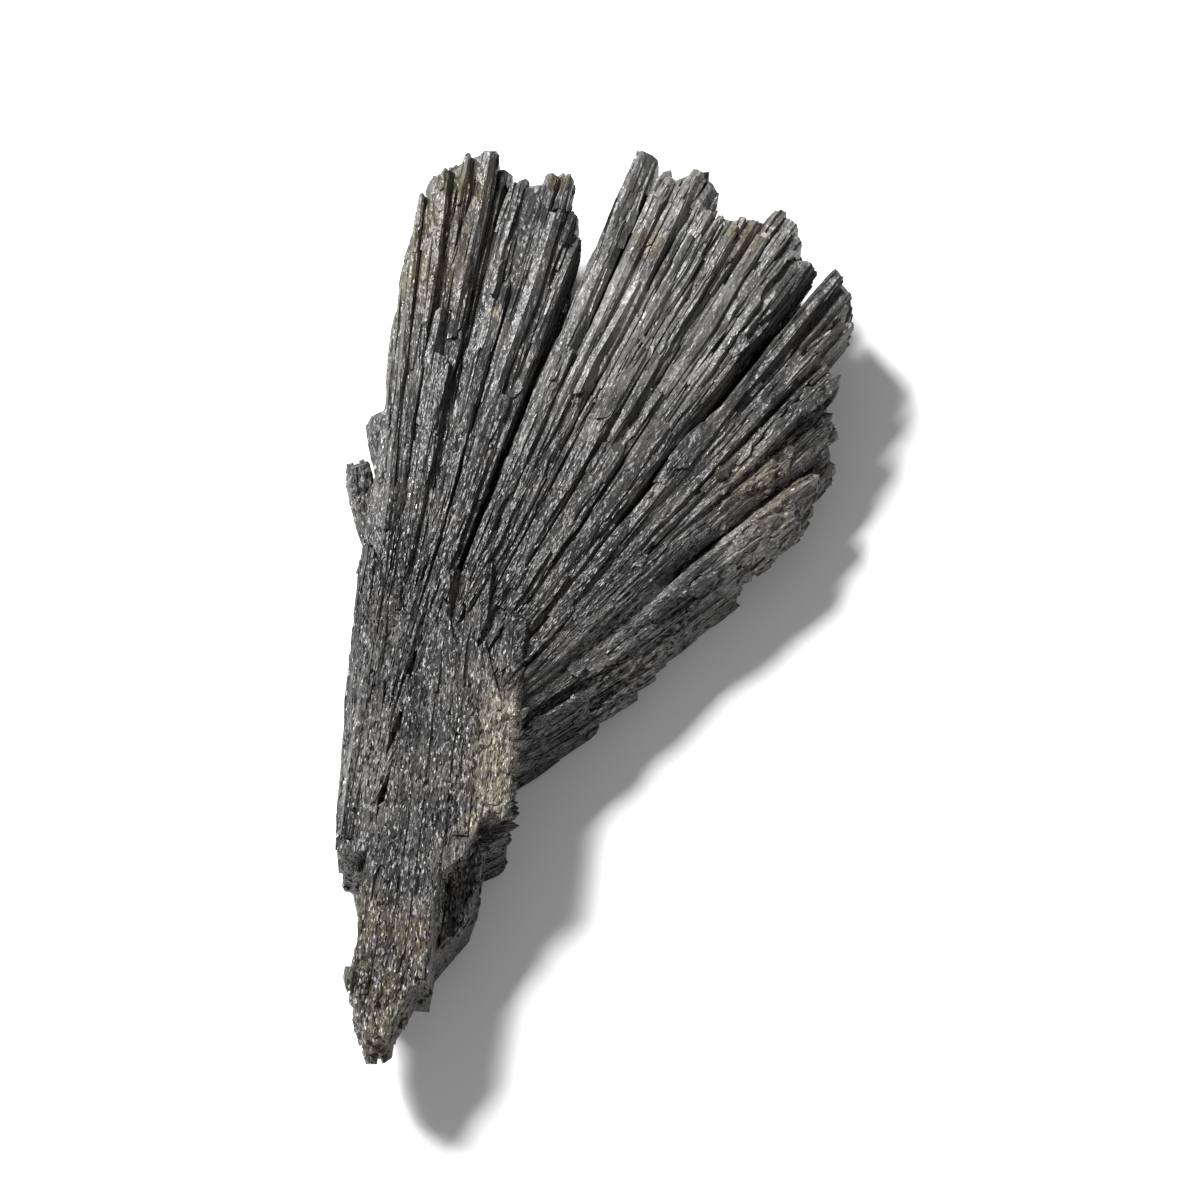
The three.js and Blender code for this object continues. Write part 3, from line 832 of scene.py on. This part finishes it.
def kyanite_finish(colours):
    """Charcoal crystal: streaks along the grain, glittering grains, brown tints and a few ochre stains,
    with painted shade on the right blade, painted light on the wing and the stem, and painted highlights at
    the glints.
    """
    finish = Finish("black_kyanite")
    place = finish.place()
    grain = finish.attribute("grain").outputs["Vector"]
    tone = Number(finish, finish.attribute("tone").outputs["Fac"])

    grains = finish.cells(grain, GRAIN_SIZE)
    tiles = finish.tiles(grain, TILE_SIZE, TILE_SLANT)
    streaks = finish.noise(grain, STREAK_SIZE, 1.0, 0.6)
    patches = finish.noise(place, PATCH_SIZE, 1.0)
    sparkle = finish.ramp(finish.noise(place, SPARKLE_SIZE, 0.0), 0.35, 0.7)
    grain_light, grain_warmth, _ = finish.parts(grains)
    tile_light, _, _ = finish.parts(tiles)

    across, along, _ = finish.parts(grain)
    root = 1 - finish.ramp(along, *DARK_ROOT)
    # Painted shade: the right blade's colour is made darker
    painted_right_shade = finish.ramp(across, *RIGHT_BLADE_PAINTED_SHADE[0]) - finish.ramp(across, *RIGHT_BLADE_PAINTED_SHADE[1])
    middle = finish.ramp(across, *PALE_MIDDLE[0]) - finish.ramp(across, *PALE_MIDDLE[1])
    middle = middle * finish.ramp(along, *PALE_REACH)
    # Painted light: the colour on the wing and the stem is made paler
    wing_painted_light = finish.ramp(across, *WING_PAINTED_LIGHT)
    glint = finish.stains(place, GLINT_PLACES)
    glitter = root * 0.55 + wing_painted_light * 0.15 + glint * 0.3 - middle * 0.1 + 0.16 + sparkle * 0.35
    light = (grain_light - 0.5) * glitter * 1.4 + tile_light * 0.2 + streaks * 0.6
    # The glints are painted highlights: their colour is made paler, besides their gloss and tilt
    light = light + patches * 1.3 + tone * 0.2 + glint * 0.45 + middle * 0.45
    # Painted light on the wing and the stem and painted shade on the right blade; the colour is also darker
    # near the root
    light = light + wing_painted_light * (root * 0.4 + 0.15) - root * 0.75 - painted_right_shade * 0.15 + 0.1

    body = finish.mix(finish.ramp(light, 0.75, 1.75), colours.dark, colours.grey)
    body = finish.mix(finish.ramp(light, 1.5, 2.3), body, colours.pale)
    brown = finish.ramp(patches, 0.45, 0.7) * grain_warmth * 0.6
    body = finish.mix(brown, body, colours.brown)
    stainable = finish.ramp(light, 0.2, 1.2)
    ochre = finish.stains(place, OCHRE_STAINS) * stainable * (grain_warmth * 0.6 + 0.2)
    body = finish.mix(ochre, body, colours.ochre)
    crust = finish.stains(place, CRUST_PLACES) * stainable * 0.9
    body = finish.mix(crust, body, colours.crust)

    polish = finish.ramp(grain_light, 0.7, 0.95) * (glint * 0.3 + 0.1)
    roughness = 0.54 - root * 0.03 - tile_light * 0.1 - polish
    striae = finish.noise(grain, STRIA_SIZE, 1.0)
    bump = finish.node("ShaderNodeBump", None, {
        "Strength": STRIA_STRENGTH, "Distance": STRIA_DEPTH, "Height": striae})
    normal = finish.tilted(bump.outputs[0], tiles, TILE_TILT)
    normal = finish.tilted(normal, grains, glitter * GRAIN_TILT)
    shader = finish.node("ShaderNodeBsdfPrincipled", None, {
        "Base Color": body, "Roughness": roughness, "IOR": KYANITE_IOR, "Normal": normal})
    finish.node("ShaderNodeOutputMaterial", None, {"Surface": shader.outputs[0]})
    return finish.material


def plain_finish(name, shade, roughness):
    """One even finish, for the floor."""
    finish = Finish(name)
    shader = finish.node("ShaderNodeBsdfPrincipled", None, {
        "Base Color": colour(shade), "Roughness": roughness})
    finish.node("ShaderNodeOutputMaterial", None, {"Surface": shader.outputs[0]})
    return finish.material


class KYANITE_OT_crystal_fan(bpy.types.Operator):
    """Chip the fan's solid, cover it with slivers along its grain and give it the kyanite finish"""

    bl_idname = "kyanite.crystal_fan"
    bl_label = "Crystal fan"

    def execute(self, context):
        bm = solid_copy()
        sizes = context.scene.kyanite_crystal
        shapes = cover(bm, sizes)
        chips = chips_off(bm, sizes)
        mesh = bpy.data.meshes.new("crystal_fan")
        bm.to_mesh(mesh)
        bm.free()
        piece = bpy.data.objects.new("crystal_fan", mesh)
        context.scene.collection.objects.link(piece)
        combine(piece, "DIFFERENCE", chips)
        combine(piece, "UNION", shapes)
        keep_largest_shell(piece.data)
        write_grain(piece.data)
        piece.data.materials.clear()
        piece.data.materials.append(kyanite_finish(context.scene.kyanite_finish))
        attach(piece, FAN_BODY)
        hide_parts(FAN_NODE)
        return {"FINISHED"}


class KYANITE_OT_studio(bpy.types.Operator):
    """Make the pale floor, the soft lights and the camera"""

    bl_idname = "kyanite.studio"
    bl_label = "Studio"

    def execute(self, context):
        studio = context.scene.kyanite_studio
        self.floor(context, studio)
        self.lights(context)
        self.camera(context, studio)
        context.scene.view_settings.view_transform = "Standard"
        return {"FINISHED"}

    def floor(self, context, studio):
        bm = bmesh.new()
        bmesh.ops.create_grid(bm, x_segments=1, y_segments=1, size=FLOOR_HALF)
        mesh = bpy.data.meshes.new("floor")
        bm.to_mesh(mesh)
        bm.free()
        mesh.materials.append(plain_finish("pale_floor", studio.floor, FLOOR_ROUGHNESS))
        floor = bpy.data.objects.new("floor", mesh)
        context.scene.collection.objects.link(floor)
        floor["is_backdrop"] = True

    def lights(self, context):
        world = bpy.data.worlds.new("studio")
        world.use_nodes = True
        background = world.node_tree.nodes["Background"]
        background.inputs["Color"].default_value = (1, 1, 1, 1)
        background.inputs["Strength"].default_value = WORLD_STRENGTH
        context.scene.world = world
        for name, place, size, watts in SOFTBOXES:
            self.softbox(context, name, Vector(place), size, watts)

    def softbox(self, context, name, place, size, watts):
        data = bpy.data.lights.new(name, "AREA")
        data.size = size
        data.energy = watts
        light = bpy.data.objects.new(name, data)
        light.location = place
        light.rotation_euler = (-place).to_track_quat("-Z", "Y").to_euler()
        context.scene.collection.objects.link(light)

    def camera(self, context, studio):
        data = bpy.data.cameras.new("camera")
        data.lens = studio.lens
        data.clip_start = CLIP_START
        up = math.sin(studio.elevation)
        level = math.cos(studio.elevation)
        low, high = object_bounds()
        size = high - low
        tall = size.y * up + size.z * level
        away = tall / studio.filling * data.lens / data.sensor_width
        camera = bpy.data.objects.new("camera", data)
        camera.location = (low + high) / 2 + Vector((0, -level, up)) * away
        camera.rotation_euler = (math.pi / 2 - studio.elevation, 0, 0)
        context.scene.collection.objects.link(camera)
        context.scene.camera = camera


class KYANITE_PT_panel(bpy.types.Panel):
    """Lists the steps in the 3D view's sidebar"""

    bl_idname = "KYANITE_PT_panel"
    bl_label = "Black kyanite fan"
    bl_space_type = "VIEW_3D"
    bl_region_type = "UI"
    bl_category = "Kyanite"

    def draw(self, context):
        for step in STEPS:
            self.layout.operator(step.bl_idname)


STEPS = (KYANITE_OT_crystal_fan, KYANITE_OT_studio)
SETTINGS = {
    "kyanite_crystal": CrystalSettings,
    "kyanite_finish": FinishSettings,
    "kyanite_studio": StudioSettings,
}


def register():
    for name, group in SETTINGS.items():
        bpy.utils.register_class(group)
        setattr(bpy.types.Scene, name, PointerProperty(type=group))
    for cls in (*STEPS, KYANITE_PT_panel):
        bpy.utils.register_class(cls)


def unregister():
    for cls in (KYANITE_PT_panel, *reversed(STEPS)):
        bpy.utils.unregister_class(cls)
    for name, group in SETTINGS.items():
        delattr(bpy.types.Scene, name)
        bpy.utils.unregister_class(group)


def main():
    register()
    bpy.ops.kyanite.crystal_fan()
    bpy.ops.kyanite.studio()


if __name__ == "__main__":
    main()
